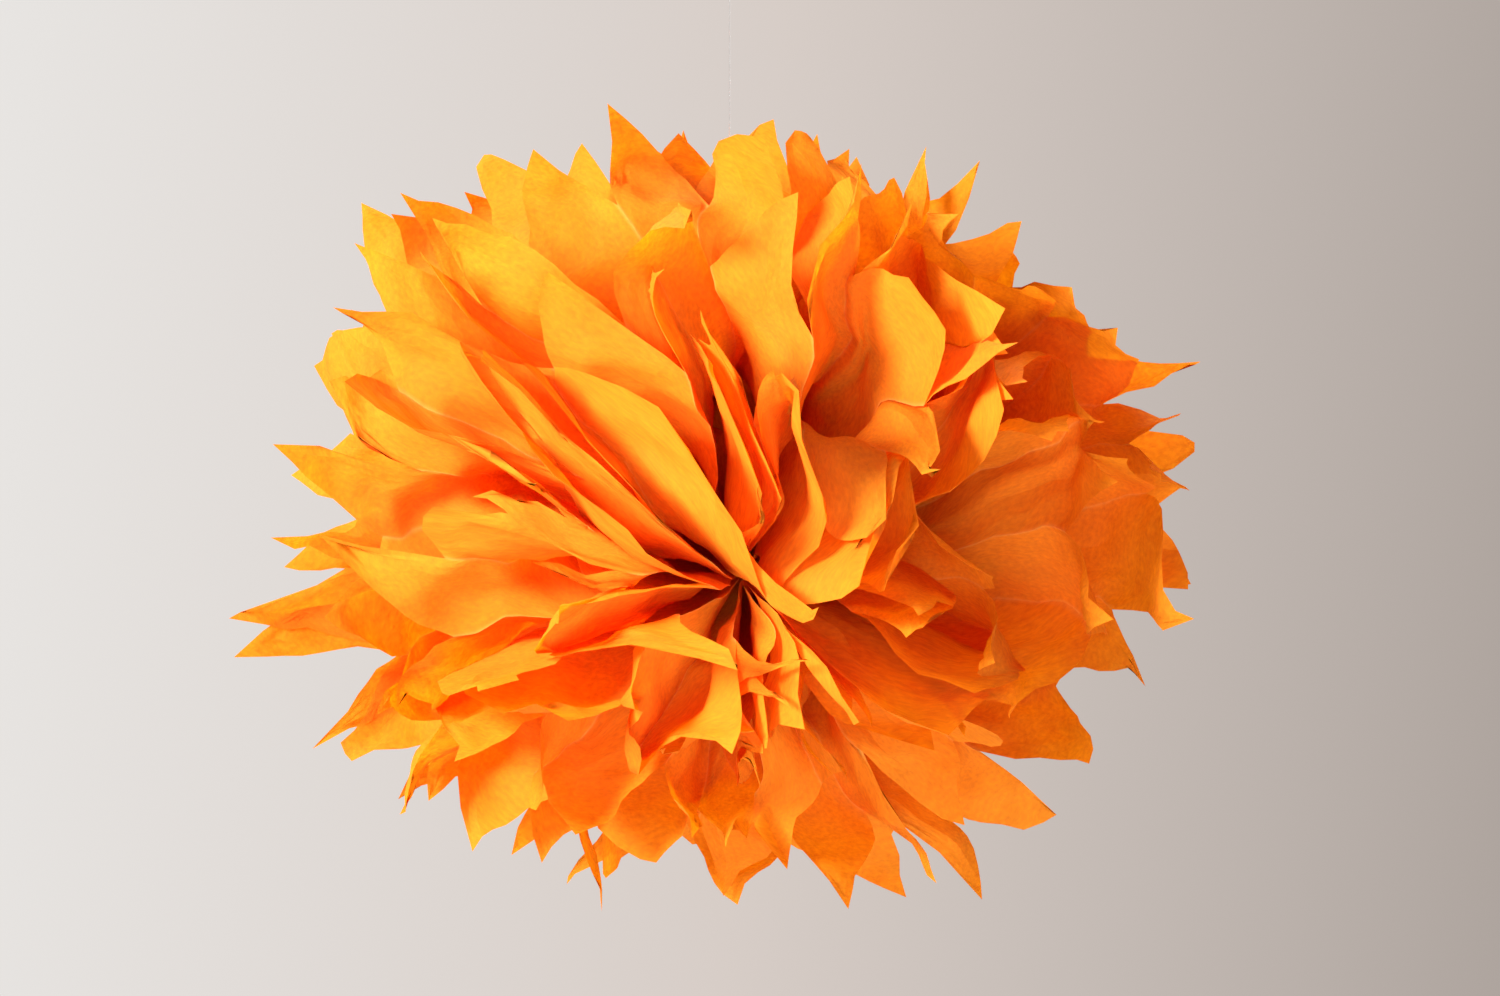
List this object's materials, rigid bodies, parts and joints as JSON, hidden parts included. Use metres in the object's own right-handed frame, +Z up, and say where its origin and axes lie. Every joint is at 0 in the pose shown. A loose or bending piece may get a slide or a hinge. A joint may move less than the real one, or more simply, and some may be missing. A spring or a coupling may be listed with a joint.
{
  "type": "tissue paper pom pom",
  "caption": "Round hanging decoration of pleated tissue sheets tied at the middle, cut to points and opened into petals, on a clear line with a loop at its top.",
  "frame": {"origin": "inner top of the loop at the upper end of the hanging line, where a hook would carry it", "axes": "+Z up along the hanging line; +X along the tied strip, to the right as the picture shows it; -Y towards the side that the picture shows"},
  "size_m": [0.3749, 0.3005, 0.4097],
  "materials": {
    "orange_tissue": "thin matt orange tissue paper that lets light through, faintly mottled by its fibres",
    "steel_wire": "plain drawn steel wire",
    "clear_nylon": "clear nylon monofilament"
  },
  "bodies": {
    "root": {"tissue_sheet_front_1": "orange_tissue", "tissue_sheet_front_2": "orange_tissue", "tissue_sheet_front_3": "orange_tissue", "tissue_sheet_front_4": "orange_tissue", "tissue_sheet_front_5": "orange_tissue", "tissue_sheet_back_5": "orange_tissue", "tissue_sheet_back_4": "orange_tissue", "tissue_sheet_back_3": "orange_tissue", "tissue_sheet_back_2": "orange_tissue", "tissue_sheet_back_1": "orange_tissue", "tie_wire": "steel_wire", "hanging_line": "clear_nylon"}
  },
  "joints": []
}
